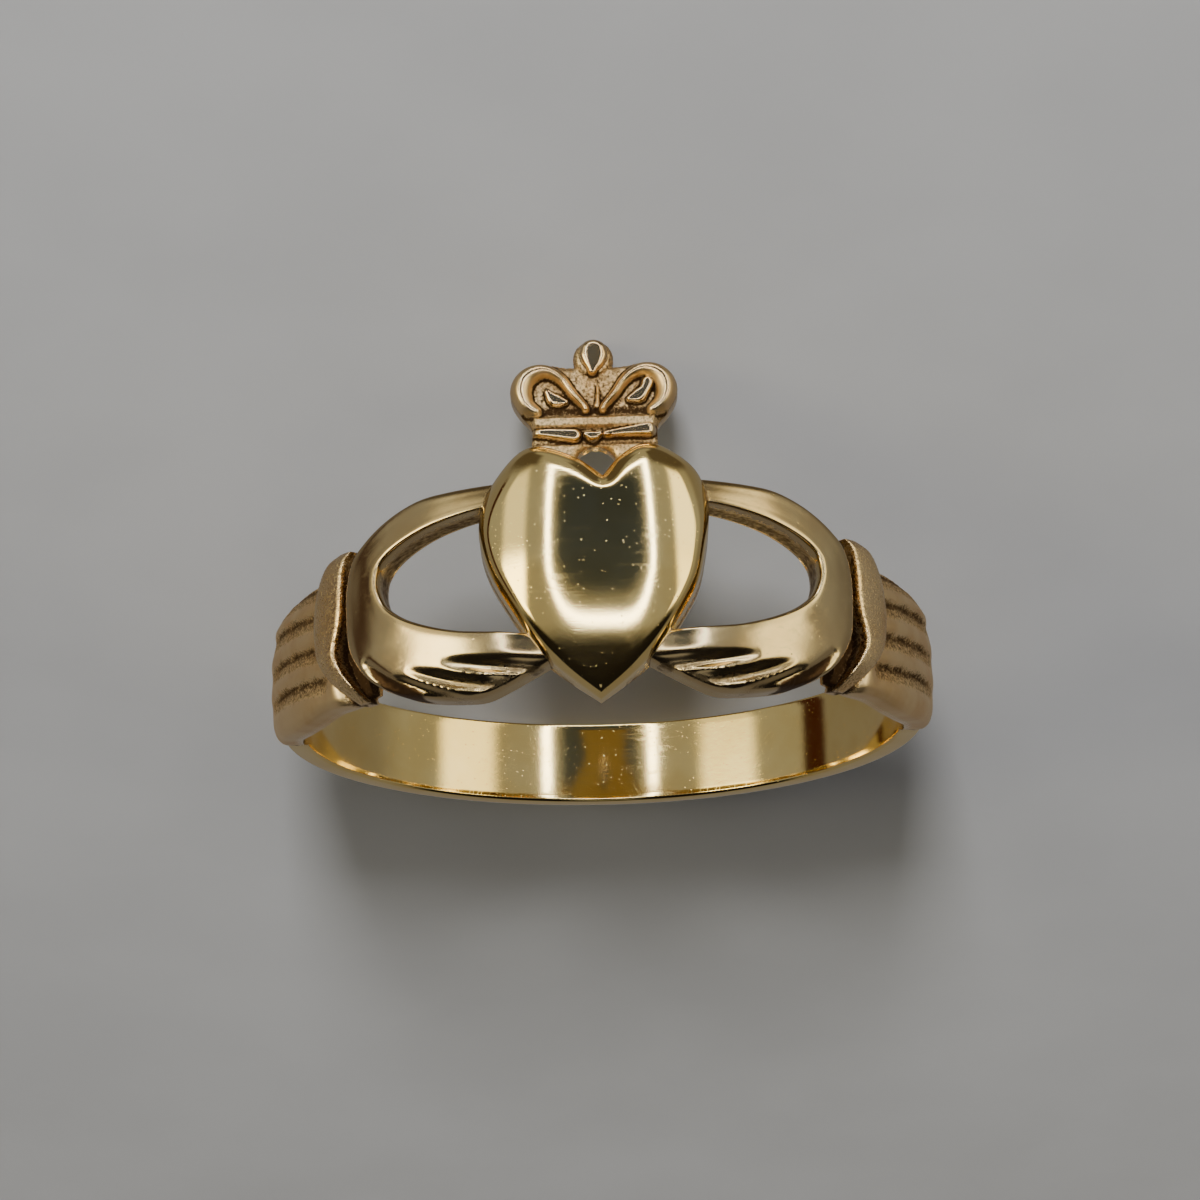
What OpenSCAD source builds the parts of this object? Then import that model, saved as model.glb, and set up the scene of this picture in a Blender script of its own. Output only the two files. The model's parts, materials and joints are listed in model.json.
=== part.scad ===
// Claddagh ring: two hands hold a crowned heart on a plain band, cast in one piece.
// Lengths are millimetres. The ring lies on its side on the ground plane, crown downwards.
// It touches the ground at the tip of the crown and at the edge of the band's back.

/* [Finger and band] */
// Inner diameter, where the finger goes through
finger_d = 17.5; // [14:0.1:22]
// Width of the band along the finger
band_w = 2.5; // [2:0.1:3.2]
// Thickness of the band along its middle line
band_t = 0.95; // [0.7:0.05:1.4]
// Thickness of the band at its two edges
band_edge_t = 0.55; // [0.4:0.05:0.65]
// Slope of the finger hole's wall above and below the band, in degrees
hole_ease = 1.5; // [0.5:0.25:2.5]

/* [Heart] */
// Width across the two lobes
heart_w = 6.3; // [5.4:0.1:7]
// Height from the point to the top of the lobes
heart_h = 7.1; // [6.2:0.1:8]
// How far the point hangs below the band's middle plane
heart_drop = 2.75; // [2.2:0.05:3.2]
// Height of the polished edge above the finger surface
heart_rim_t = 0.85; // [0.6:0.05:1.1]
// Rise of the pillow above that edge
heart_rise = 1.1; // [0.5:0.05:1.5]

/* [Hands] */
// Reach of a hand along the arc, from the ring's middle to the wrist
hand_w = 7.8; // [7:0.1:9]
// Height from the finger side of a hand to the top of its thumb
hand_h = 6.0; // [5.2:0.1:6.6]
// How far a hand hangs below the band's middle plane
hand_drop = 2.5; // [2:0.05:2.9]
// Thickness of the hand over the wrist
hand_t = 1.45; // [1.1:0.05:1.8]
// Metal left under the lines between the fingers
finger_line_floor = 0.8; // [0.6:0.05:1]
// Width of a line between two fingers
finger_line_w = 0.36; // [0.2:0.01:0.42]

/* [Cuffs] */
// Width of a cuff along the arc
cuff_w = 1.5; // [1:0.05:1.9]
// Height of a cuff across the band
cuff_h = 4.3; // [3.8:0.05:4.8]
// How far a cuff hangs below the band's middle plane
cuff_drop = 1.95; // [1.7:0.05:2.2]
// Thickness of a cuff
cuff_t = 1.25; // [1.05:0.05:1.6]
// Open groove between the wrist and the cuff
cuff_gap = 0.22; // [0.1:0.01:0.4]

/* [Sleeves] */
// Width of a sleeve across the band
sleeve_w = 4.0; // [3.4:0.1:4.6]
// Thickness of a sleeve over its ribs
sleeve_t = 0.95; // [0.8:0.05:1.2]
// Reach of a sleeve along the arc, from the ring's middle to its end
sleeve_reach = 17; // [14:0.5:19]
// Thickness of the plain floor under the wrist and the cuff
wrist_t = 0.7; // [0.5:0.05:0.85]
// Width of a fold line in a sleeve
fold_w = 0.42; // [0.25:0.01:0.5]
// Depth of a fold line in a sleeve
fold_depth = 0.26; // [0.1:0.01:0.35]

/* [Crown] */
// Top of the crown above the band's middle plane
crown_top = 7.58; // [6.8:0.05:8.4]
// Width of the crown across its two loops
crown_w = 4.64; // [4:0.05:5.2]
// Height of the crown's face above the finger surface
crown_t = 0.68; // [0.5:0.05:0.9]
// Rise of the loops, bars and drops over the crown's face
crown_relief = 0.24; // [0.1:0.01:0.3]
// Radius of the rounded loops
loop_r = 0.26; // [0.15:0.01:0.28]
// Radius of the open window between crown and heart
window_r = 0.58; // [0.4:0.02:0.65]

/* [Hidden] */

gold = "#d9bd86";
finger_r = finger_d / 2;
// Arc lengths of the head are measured on this radius
arc_r = finger_r + (heart_rim_t + hand_t) / 2;
// The forms start this far under the finger surface, and the finger hole trims them
root = 0.3;
// Each form starts a little deeper than the one before, so that no two roots lie in one surface
root_step = 0.03;
// Smoothness of the round cuts and of the band
$fn = 96;

// The slope between the tip of the crown and the band's back edge is the ring's lean
tip_rise = crown_top - band_w / 2;
tip_r = finger_r + tip_rise * tan(hole_ease);
lean = atan2(tip_rise, tip_r + finger_r + band_edge_t);
ground_z = crown_top * cos(lean) - tip_r * sin(lean);
front_y = (finger_r + crown_t) * cos(lean) + crown_top * sin(lean);
back_y = (finger_r + band_t) * cos(lean);

// Heart edge from the notch down the left side to the point
// [ across as a share of heart_w, up from the point as a share of heart_h ]
heart_left = [
    [ 0.030, 0.877],
    [-0.106, 0.947],
    [-0.287, 0.998],
    [-0.432, 0.885],
    [-0.508, 0.740],
    [-0.500, 0.582],
    [-0.419, 0.410],
    [-0.235, 0.165],
    [ 0.000, 0.000],
];

// Heart edge from the point up the right side to the notch, with the same columns
heart_right = [
    [0.000, 0.000],
    [0.222, 0.158],
    [0.410, 0.403],
    [0.471, 0.600],
    [0.483, 0.758],
    [0.437, 0.896],
    [0.303, 0.985],
    [0.200, 0.997],
    [0.097, 0.935],
    [0.030, 0.877],
];

// The pillow rises towards this place, with the same columns
heart_middle = [0, 0.56];
// The heart's flat foot lies under the finger surface out to its widest place
heart_foot = sqrt(finger_r * finger_r - heart_w * heart_w / 4) - root;

// Stations of a hand from the thumb's tip round the wrist to the fingertips
// [ outer across and inner across as shares of hand_w,
//   outer up and inner up as shares of hand_h,
//   thickness as a share of hand_t ]
hand_stations = [
    [0.310, 0.310, 0.995, 0.875, 0.80],
    [0.437, 0.431, 0.990, 0.860, 0.83],
    [0.553, 0.533, 0.985, 0.838, 0.85],
    [0.656, 0.623, 0.975, 0.810, 0.87],
    [0.739, 0.713, 0.945, 0.768, 0.89],
    [0.816, 0.781, 0.888, 0.720, 0.92],
    [0.893, 0.820, 0.835, 0.668, 0.95],
    [0.972, 0.829, 0.792, 0.618, 0.98],
    [1.000, 0.825, 0.630, 0.567, 1.00],
    [1.000, 0.803, 0.468, 0.500, 1.00],
    [0.990, 0.771, 0.318, 0.450, 1.00],
    [0.938, 0.713, 0.200, 0.397, 1.00],
    [0.868, 0.649, 0.117, 0.358, 0.98],
    [0.771, 0.572, 0.058, 0.323, 0.96],
    [0.668, 0.495, 0.025, 0.298, 0.93],
    [0.553, 0.418, 0.004, 0.285, 0.90],
    [0.450, 0.353, 0.000, 0.277, 0.87],
    [0.347, 0.296, 0.042, 0.267, 0.82],
    [0.244, 0.231, 0.100, 0.258, 0.72],
    [0.160, 0.154, 0.150, 0.250, 0.60],
];

// Section of a hand from its outer wall over the back of the hand to its inner wall
// [ across as a share of the width there, height as a share of the thickness there ]
hand_section = [
    [0.00, 0.55],
    [0.05, 0.80],
    [0.16, 0.95],
    [0.32, 1.00],
    [0.60, 0.97],
    [0.85, 0.90],
    [1.00, 0.80],
];

// The back of the fingers lies at this share of hand_t
finger_back = 0.9;
// Lines between the fingers, each from the palm to the fingertips
// [ across as a share of hand_w, up as a share of hand_h, width as a share of finger_line_w ]
finger_lines = [
    [[0.57, 0.196, 0.1], [0.49, 0.170, 0.6], [0.40, 0.146, 0.9], [0.30, 0.127, 1.0], [0.18, 0.115, 1.0]],
    [[0.71, 0.176, 0.1], [0.61, 0.125, 0.7], [0.51, 0.088, 1.0], [0.41, 0.062, 1.0], [0.29, 0.050, 0.6]],
    [[0.80, 0.160, 0.1], [0.71, 0.100, 0.6], [0.62, 0.052, 0.8], [0.53, 0.016, 0.8], [0.43, -0.02, 0.5]],
    [[0.90, 0.195, 0.3], [0.84, 0.120, 0.9], [0.76, 0.062, 0.9], [0.68, 0.018, 0.3]],
];

// Stations of a cuff from its foot to its top
// [ up as a share of cuff_h, near edge and far edge as shares of cuff_w,
//   thickness as a share of cuff_t ]
cuff_stations = [
    [0.000, -0.20,  0.10, 0.36],
    [0.088, -0.08,  0.38, 0.70],
    [0.198,  0.08,  0.64, 0.92],
    [0.330,  0.22,  0.88, 1.00],
    [0.505,  0.07,  1.02, 1.00],
    [0.659,  0.01,  1.00, 1.00],
    [0.813,  0.00,  0.87, 0.95],
    [0.934, -0.10,  0.60, 0.80],
    [1.000, -0.25,  0.15, 0.40],
];

// Section of a cuff or sleeve from one edge to the other
// [ across as a share of the width there, height as a share of the thickness there ]
round_section = [
    [0.00, 0.62],
    [0.06, 0.84],
    [0.20, 0.96],
    [0.50, 1.00],
    [0.80, 0.96],
    [0.94, 0.84],
    [1.00, 0.62],
];

// Stations of a sleeve from under the wrist to its end
// [ along as a share of the way from wrist to end,
//   top and bottom as shares of half of sleeve_w, thickness as a share of sleeve_t ]
sleeve_stations = [
    [0.22, 0.95, 0.93, 0.97],
    [0.35, 0.96, 0.97, 1.00],
    [0.48, 0.97, 0.95, 1.00],
    [0.60, 0.93, 0.88, 1.00],
    [0.72, 0.86, 0.79, 0.98],
    [0.86, 0.74, 0.70, 0.94],
    [1.00, 0.55, 0.55, 0.72],
];

// Fold lines of a sleeve
// [ up beside the cuff and up at the far end, as shares of half of sleeve_w ]
fold_lines = [
    [ 0.80,  1.02],
    [ 0.36,  0.62],
    [-0.12,  0.16],
    [-0.56, -0.30],
];
// The folds run over this part of the sleeve, as shares of the way from wrist to end
fold_span = [0.19, 0.80];

// Half outline of the crown from its foot to its tip
// [ across as a share of half of crown_w, up from the legs' foot as a share of the crown ]
crown_half = [
    [0.750, 0.00],
    [0.755, 0.36],
    [0.870, 0.45],
    [0.965, 0.54],
    [1.000, 0.63],
    [0.950, 0.73],
    [0.800, 0.81],
    [0.600, 0.83],
    [0.400, 0.81],
    [0.240, 0.80],
];

// Middle line of a crown loop, from the middle of the crown round to its side
// [ across as a share of half of crown_w, up as a share of the crown, radius as a share of loop_r ]
loop_path = [
    [0.13, 0.510, 0.45],
    [0.24, 0.590, 0.55],
    [0.36, 0.690, 0.65],
    [0.50, 0.765, 0.80],
    [0.66, 0.775, 0.95],
    [0.81, 0.715, 1.00],
    [0.87, 0.625, 1.00],
    [0.82, 0.535, 0.95],
    [0.70, 0.475, 0.75],
];

// Raised drops on the crown's face, each a rounded bar from a first to a second end
// [ across and up of the first end, its radius, across and up of the second end, its radius ]
// across and radius are shares of half of crown_w, up is a share of the crown
crown_drops = [
    [ 0.020, 0.870, 0.135,  0.000, 0.735, 0.040],
    [-0.520, 0.590, 0.035, -0.370, 0.530, 0.060],
    [ 0.590, 0.630, 0.045,  0.450, 0.540, 0.050],
    [-0.680, 0.318, 0.022, -0.225, 0.300, 0.072],
    [ 0.120, 0.298, 0.030,  0.600, 0.320, 0.085],
    [-0.040, 0.300, 0.050, -0.020, 0.285, 0.055],
];

// The crown's legs reach down behind the heart's lobes, by this share of heart_h
leg_lap = 0.106;
crown_foot = heart_h * (1 - leg_lap) - heart_drop;
crown_h = crown_top - crown_foot;
finial_r = 0.12 * crown_w;
// Top of the window between crown and heart, as a share of the crown
window_top = 0.21;

// Degrees of arc for a length along the head
function arc_deg(s) = s / arc_r * 180 / PI;
// A point at an arc length from the middle, a height along the finger and a thickness
function on_ring(s, up, t) =
    [(finger_r + t) * sin(arc_deg(s)), -(finger_r + t) * cos(arc_deg(s)), up];
// A point of a flat outline, a height out from the ring's axis
function on_face(p, out) = [p[0], -out, p[1]];
// A smooth curve through four neighbours, between the two in the middle
function between(a, b, c, d, u) =
    ((2 * b) + (c - a) * u + (2 * a - 5 * b + 4 * c - d) * u * u
        + (3 * b - a - 3 * c + d) * u * u * u) / 2;
// A smooth run through a list of points, its last point left out
function smooth_run(p, steps) = [
    for (i = [0 : len(p) - 2])
        for (k = [0 : steps - 1])
            between(p[max(i - 1, 0)], p[i], p[i + 1], p[min(i + 2, len(p) - 1)], k / steps)
];
// The same run with its last point
function whole_run(p, steps) = concat(smooth_run(p, steps), [p[len(p) - 1]]);
function total(v, i = 0) = i < len(v) ? v[i] + total(v, i + 1) : v[0] * 0;
function middle(v) = total(v) / len(v);
// The outline round two circles
function rounded_bar(a, ra, b, rb, steps) =
    let (turn = atan2(b[1] - a[1], b[0] - a[0]))
    let (open = acos((ra - rb) / norm(b - a)))
    concat(
        [for (k = [0 : steps])
            let (w = turn - open + 2 * open * k / steps)
            b + rb * [cos(w), sin(w)]],
        [for (k = [0 : steps])
            let (w = turn + open + (360 - 2 * open) * k / steps)
            a + ra * [cos(w), sin(w)]]
    );

// A closed body through a row of sections with the same number of points
module loft(sections) {
    n = len(sections);
    m = len(sections[0]);
    first = n * m;
    points = concat(
        [for (section = sections) each section],
        [middle(sections[0]), middle(sections[n - 1])]
    );
    faces = concat(
        [for (i = [0 : n - 2]) for (j = [0 : m - 1])
            [i * m + j, (i + 1) * m + j, i * m + (j + 1) % m]],
        [for (i = [0 : n - 2]) for (j = [0 : m - 1])
            [i * m + (j + 1) % m, (i + 1) * m + j, (i + 1) * m + (j + 1) % m]],
        [for (j = [0 : m - 1]) [first, j, (j + 1) % m]],
        [for (j = [0 : m - 1]) [first + 1, (n - 1) * m + (j + 1) % m, (n - 1) * m + j]]
    );
    polyhedron(points, faces);
}

// A pillow over an outline: rings shrink towards its middle and rise as they do
module pillow(outline, heart_of, foot, rim, rise, rings, full) {
    m = len(outline);
    points = concat(
        [on_face(heart_of, foot)],
        [for (p = outline) on_face(p, foot)],
        [for (k = [0 : rings - 1])
            let (share = cos(90 * k / rings))
            let (lift = rise * pow(1 - pow(share, full), 1 / full))
            for (p = outline) on_face(heart_of + (p - heart_of) * share, rim + lift)],
        [on_face(heart_of, rim + rise)]
    );
    top = (rings + 1) * m + 1;
    faces = concat(
        [for (j = [0 : m - 1]) [0, 1 + j, 1 + (j + 1) % m]],
        [for (k = [0 : rings - 1]) for (j = [0 : m - 1])
            [1 + k * m + j, 1 + (k + 1) * m + j, 1 + k * m + (j + 1) % m]],
        [for (k = [0 : rings - 1]) for (j = [0 : m - 1])
            [1 + k * m + (j + 1) % m, 1 + (k + 1) * m + j, 1 + (k + 1) * m + (j + 1) % m]],
        [for (j = [0 : m - 1]) [1 + rings * m + j, top, 1 + rings * m + (j + 1) % m]]
    );
    polyhedron(points, faces);
}

module band() {
    // The outside is domed: a circle through both edges and the middle line
    sag = band_t - band_edge_t;
    dome_r = (sag * sag + band_w * band_w / 4) / (2 * sag);
    // It runs round the back from cuff to cuff, and leaves the head's windows open
    end = arc_deg(hand_w + cuff_gap + cuff_w / 2);
    rotate_extrude(start = end - 90, angle = 360 - 2 * end)
    intersection() {
        translate([finger_r - root, -band_w / 2])
        square([root + band_t, band_w]);
        translate([finger_r + band_t - dome_r, 0])
        circle(r = dome_r);
    }
}

function heart_point(p) = [p[0] * heart_w, p[1] * heart_h - heart_drop];

// The finger hole is straight within the band and eases open above and below it
module finger_hole() {
    reach = 2 * crown_top;
    translate([0, 0, -band_w / 2])
    cylinder(r = finger_r, h = band_w);
    for (side = [0, 1])
        mirror([0, 0, side])
        translate([0, 0, band_w / 2])
        cylinder(r1 = finger_r, r2 = finger_r + reach * tan(hole_ease), h = reach);
}

module heart() {
    outline = [for (p = concat(smooth_run(heart_left, 4), smooth_run(heart_right, 4)))
        heart_point(p)];
    // Seen from the front the outline runs round to the left
    pillow(outline, heart_point(heart_middle), heart_foot, finger_r + heart_rim_t,
        heart_rise, 7, 2.4);
}

function hand_point(across, up, t) = on_ring(across * hand_w, up * hand_h - hand_drop, t);

module hand() {
    depth = -root - root_step;
    loft([for (row = whole_run(hand_stations, 2))
        let (outer = [row[0], row[2]])
        let (inner = [row[1], row[3]])
        // The window's wall drops straight to the finger, and doesn't lean in with the ring
        let (straight = 1 + row[4] * hand_t / finger_r)
        concat(
            [hand_point(outer[0], outer[1], depth)],
            [for (q = hand_section)
                let (p = outer + (inner - outer) * q[0])
                hand_point(p[0], p[1], q[1] * row[4] * hand_t)],
            [hand_point(inner[0] * straight, inner[1], depth)]
        )
    ]);
}

// A wedge along a path, for a line cut into a surface
// The path's rows hold the arc length, the height along the finger and the share of the full size
// The mouth lies as far over the surface as the floor lies under it, so it is twice as wide as the line
module line_cut(path, width, floor_t, surface_t) {
    last = len(path) - 1;
    mouth_t = 2 * surface_t - floor_t;
    loft([for (i = [0 : last])
        let (p = path[i])
        let (run = path[min(i + 1, last)] - path[max(i - 1, 0)])
        let (side = [-run[1], run[0]] / norm([run[0], run[1]]) * width * p[2])
        let (deep = surface_t - (surface_t - floor_t) * p[2])
        [
            on_ring(p[0] - side[0], p[1] - side[1], mouth_t),
            on_ring(p[0], p[1], deep),
            on_ring(p[0] + side[0], p[1] + side[1], mouth_t),
        ]
    ]);
}

module finger_cuts() {
    for (line = finger_lines)
        line_cut([for (p = line) [p[0] * hand_w, p[1] * hand_h - hand_drop, p[2]]],
            finger_line_w, finger_line_floor, finger_back * hand_t);
}

module cuff() {
    depth = -root - 2 * root_step;
    start = hand_w + cuff_gap;
    loft([for (row = whole_run(cuff_stations, 2))
        let (up = row[0] * cuff_h - cuff_drop)
        let (near = start + row[1] * cuff_w)
        let (far = start + row[2] * cuff_w)
        concat(
            [on_ring(near, up, depth)],
            [for (q = round_section) on_ring(near + (far - near) * q[0], up, q[1] * row[3] * cuff_t)],
            [on_ring(far, up, depth)]
        )
    ]);
}

// The sleeve's plain floor starts under the hand, beside the window's wall
wrist_s = 0.97 * hand_w;
function sleeve_s(share) = wrist_s + share * (sleeve_reach - wrist_s);
function sleeve_row(share, top, bottom, thick) =
    let (s = sleeve_s(share))
    let (high = top * sleeve_w / 2)
    let (low = -bottom * sleeve_w / 2)
    concat(
        [on_ring(s, high, -root - 3 * root_step)],
        [for (q = round_section) on_ring(s, high + (low - high) * q[0], q[1] * thick)],
        [on_ring(s, low, -root - 3 * root_step)]
    );

module sleeve() {
    cuff_share = (hand_w + cuff_gap + 0.5 * cuff_w - wrist_s) / (sleeve_reach - wrist_s);
    loft(concat(
        [sleeve_row(0, 0.98, 0.86, wrist_t)],
        [sleeve_row(cuff_share, 0.96, 0.95, wrist_t)],
        [for (row = whole_run(sleeve_stations, 2)) sleeve_row(row[0], row[1], row[2], row[3] * sleeve_t)]
    ));
}

module fold_cuts() {
    steps = 8;
    for (line = fold_lines)
        line_cut([for (k = [0 : steps])
            [sleeve_s(fold_span[0] + (fold_span[1] - fold_span[0]) * k / steps),
                (line[0] + (line[1] - line[0]) * k / steps) * sleeve_w / 2,
                cos(80 * k / steps)]],
            fold_w, sleeve_t - fold_depth, sleeve_t);
}

function crown_point(across, up) = [across * crown_w / 2, up * crown_h + crown_foot];

module crown_plate() {
    right = [for (p = smooth_run(crown_half, 2)) crown_point(p[0], p[1])];
    tip = [for (w = [-20 : 20 : 200]) [finial_r * cos(w), crown_top - finial_r + finial_r * sin(w)]];
    left = [for (i = [len(right) - 1 : -1 : 0]) [-right[i][0], right[i][1]]];
    rotate([90, 0, 0])
    linear_extrude(height = finger_r + crown_t)
    difference() {
        polygon(concat(right, tip, left));
        translate([0, crown_point(0, window_top)[1] - window_r])
        circle(r = window_r);
    }
}

module crown_loop() {
    sides = 8;
    run = whole_run(loop_path, 2);
    last = len(run) - 1;
    centre_out = finger_r + crown_t;
    loft([for (i = [0 : last])
        let (p = crown_point(run[i][0], run[i][1]))
        let (after = run[min(i + 1, last)])
        let (before = run[max(i - 1, 0)])
        let (along = crown_point(after[0], after[1]) - crown_point(before[0], before[1]))
        let (side = [-along[1], along[0]] / norm(along))
        let (r = run[i][2] * loop_r)
        [for (j = [0 : sides - 1])
            let (w = 360 * (j + 0.5) / sides)
            on_face(p + side * r * cos(w), centre_out + crown_relief * sin(w) * run[i][2])]
    ]);
}

module crown_drop(row) {
    half = crown_w / 2;
    a = crown_point(row[0], row[1]);
    b = crown_point(row[3], row[4]);
    bar = rounded_bar(a, row[2] * half, b, row[5] * half, 6);
    face_n = finger_r + crown_t;
    pillow(bar, (a + b) / 2, face_n - root / 2, face_n + crown_relief / 4,
        crown_relief * 3 / 4, 3, 2);
}

module crown() {
    crown_plate();
    for (side = [0, 1])
        mirror([side, 0, 0])
        crown_loop();
    for (row = crown_drops)
        crown_drop(row);
}

module both_sides() {
    for (side = [0, 1])
        mirror([side, 0, 0])
        children();
}

module ring() {
    color(gold)
    translate([0, (front_y - back_y) / 2, ground_z])
    rotate([-lean, 0, 0])
    rotate([0, 180, 0])
    difference() {
        union() {
            band();
            both_sides() sleeve();
            both_sides() cuff();
            both_sides() hand();
            heart();
            crown();
        }
        finger_hole();
        both_sides() finger_cuts();
        both_sides() fold_cuts();
    }
}

ring();
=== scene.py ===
# Claddagh ring: the cast and polished looks of the ring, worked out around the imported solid.
# Shapes are worked out in millimetres in the ring's own frame, and placed in metres at the end.
# In that frame a point is (across the heart, up along the finger, out from the finger's axis).
# Lengths are in millimetres and angles in degrees, unless a line says otherwise. Names end in W for a
# width, H for a height, T for a thickness over the finger hole, R for a radius, SKIN for the height of the
# casting's rough skin and CELL for the size of its bumps.

import json

import bpy
import numpy as np
from mathutils import Matrix, Vector


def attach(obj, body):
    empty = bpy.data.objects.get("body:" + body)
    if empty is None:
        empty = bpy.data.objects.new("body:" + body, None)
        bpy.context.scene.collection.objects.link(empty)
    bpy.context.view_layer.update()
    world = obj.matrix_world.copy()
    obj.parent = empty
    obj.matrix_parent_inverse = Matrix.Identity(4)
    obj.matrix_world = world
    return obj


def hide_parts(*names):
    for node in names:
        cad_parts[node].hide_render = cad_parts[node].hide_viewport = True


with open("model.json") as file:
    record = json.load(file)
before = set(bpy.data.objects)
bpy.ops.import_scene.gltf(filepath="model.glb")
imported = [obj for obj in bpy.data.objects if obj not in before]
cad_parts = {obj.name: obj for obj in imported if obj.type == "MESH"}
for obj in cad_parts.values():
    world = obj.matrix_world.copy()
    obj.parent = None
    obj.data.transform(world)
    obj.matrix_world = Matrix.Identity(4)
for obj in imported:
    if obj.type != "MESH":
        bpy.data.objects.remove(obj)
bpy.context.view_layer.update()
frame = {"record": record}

MM = 0.001

# The finger hole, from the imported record
hole = next(m for m in frame["record"]["mounts"] if m["name"] == "finger_hole")
FINGER_R = hole["dims"]["r_mm"]
CENTRE = np.array(hole["pos_m"])
UP = -np.array(hole["axis"]) / np.linalg.norm(hole["axis"])
ACROSS = np.array([-1.0, 0.0, 0.0])
OUT = np.cross(ACROSS, UP)

# Band: width, thickness at its middle and edges, rounding of its corners, how far it sinks under the
# sleeves, and how far the hole eases outside it
BAND_W = 2.5
BAND_T = 0.949
BAND_EDGE_T = 0.55
BAND_ROUND = 0.09
BAND_SUNK = 0.40
HOLE_EASE = 1.5

# Heart: size, how far its point lies below the band's middle, and how high its middle stands
HEART_W = 6.3
HEART_H = 7.1
HEART_DROP = 2.75
HEART_T = 1.95
# How far its face falls to the sides and to the point, where it stands highest, and its round at the edge
HEART_SIDE_FALL = 0.93
HEART_END_FALL = 1.08
HEART_TOP_UP = 1.45
HEART_EDGE_R = 0.30
# The round is wider on the lobes, and grows to that width between these heights
HEART_LOBE_R = 0.75
HEART_LOBE_UP = (1.6, 3.6)
# Size of the oval that the inner rings near, as a share of the heart's width
HEART_OVAL = 0.46
# The last sharp corner at the wall, and how far the wall's top lies below the face's edge
HEART_CORNER_R = 0.15
HEART_WALL_DROP = 0.08

# Hands: size, how far they reach below the band's middle, thickness, and the lines between the fingers
HAND_W = 7.8
HAND_H = 6.0
HAND_DROP = 2.5
HAND_T = 1.44
FINGER_DEPTH = 0.26
FINGER_LEAST = 0.25
FINGER_LINE_W = 0.21
THUMB_SLOPE = 0.10
PIT_SKIN = 0.016
PIT_CELL = 0.07
HAND_SATIN = 0.15

# Cuffs and sleeves: size, how far the cuffs reach below the band's middle, thickness, and the folds
CUFF_W = 1.5
CUFF_H = 4.28
CUFF_DROP = 1.94
CUFF_T = 1.22
CUFF_GAP = 0.22
CUFF_SATIN = 0.5
SLEEVE_W = 4.0
SLEEVE_T = 0.945
# Arc lengths at which the sleeve starts and ends
SLEEVE_START = 0.97 * HAND_W
SLEEVE_REACH = 17.0
SLEEVE_LEAST = 0.15
FOLD_DEPTH = 0.17
FOLD_STEEP_W = 0.11
FOLD_EASY_W = 0.58
FOLD_SKIN = 0.012
WRIST_SKIN = 0.05
SLEEVE_CELL = 0.16

# Crown: height of its tip over the band's middle, width, thickness of its slab, and width of its round edge
CROWN_TOP = 7.56
CROWN_W = 4.62
CROWN_T = 0.52
CROWN_EDGE_R = 0.24
# The face's grid: its step, how far it reaches to each side, and how far past the foot and the tip
CROWN_STEP = 0.024
CROWN_REACH = 2.42
CROWN_MARGIN = 0.1
CROWN_SKIN = 0.022
CROWN_CELL = 0.11
# Relief over the ground: the loops' ridges, all along and with their radius, the finial's disc, the strip
# over the bars, and the foot behind the heart. An edge is a pair: where it starts and where it ends
RIDGE_RISE = 0.20
RIDGE_SWELL = 0.55
DISC_RISE = 0.10
DISC_EDGE = (0.44, 0.56)
STRIP_RISE = 0.15
STRIP_EDGES = ((4.90, 5.04), (5.20, 5.36))
STRIP_END = (1.60, 1.76)
FOOT_RISE = 0.10
FOOT_TOP = (4.42, 4.52)
# How full the drops and bars are, and how much of the satin the polish takes off them
DROP_FULLNESS = 5
CROWN_POLISH = 0.64

# Arc lengths of the head are measured on this radius
ARC_R = FINGER_R + 1.15
# The forms start this far inside the finger hole, which is then cut through them all
ROOT = 0.3
# Edges that turn by more than this are shaded sharp
SHARP_ANGLE = 38

# Heart edge: across as a share of the width, up as a share of the height
HEART_LEFT = [
    (0.030, 0.858), (-0.095, 0.945), (-0.287, 0.998), (-0.432, 0.885), (-0.508, 0.740),
    (-0.500, 0.582), (-0.419, 0.410), (-0.235, 0.165), (0.000, 0.000),
]
HEART_RIGHT = [
    (0.000, 0.000), (0.222, 0.158), (0.410, 0.403), (0.471, 0.600), (0.483, 0.758),
    (0.437, 0.896), (0.303, 0.985), (0.200, 0.997), (0.100, 0.938), (0.030, 0.858),
]
HEART_MIDDLE = (0.0, 0.56)

# Hand, from the thumb's tip round the wrist to the fingertips
# Columns: outer across, inner across, outer up, inner up, thickness, all as shares
HAND_STATIONS = [
    (0.310, 0.310, 0.995, 0.875, 0.80), (0.437, 0.431, 0.990, 0.860, 0.83),
    (0.553, 0.533, 0.985, 0.838, 0.85), (0.656, 0.623, 0.975, 0.810, 0.87),
    (0.739, 0.713, 0.945, 0.768, 0.89), (0.820, 0.781, 0.895, 0.720, 0.92),
    (0.900, 0.820, 0.825, 0.668, 0.95), (0.965, 0.829, 0.740, 0.618, 0.98),
    (0.995, 0.825, 0.610, 0.567, 1.00), (1.000, 0.803, 0.468, 0.500, 1.00),
    (0.990, 0.771, 0.318, 0.450, 1.00), (0.938, 0.713, 0.200, 0.397, 1.00),
    (0.868, 0.649, 0.117, 0.358, 0.98), (0.771, 0.572, 0.058, 0.323, 0.96),
    (0.668, 0.495, 0.025, 0.298, 0.93), (0.553, 0.418, 0.004, 0.285, 0.90),
    (0.450, 0.353, 0.000, 0.277, 0.87), (0.347, 0.296, 0.042, 0.267, 0.82),
    (0.244, 0.231, 0.100, 0.258, 0.72), (0.160, 0.154, 0.150, 0.250, 0.60),
]
# The stations from here on carry the fingers, and get the finer rows
FINGERS_FROM = 10
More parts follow.
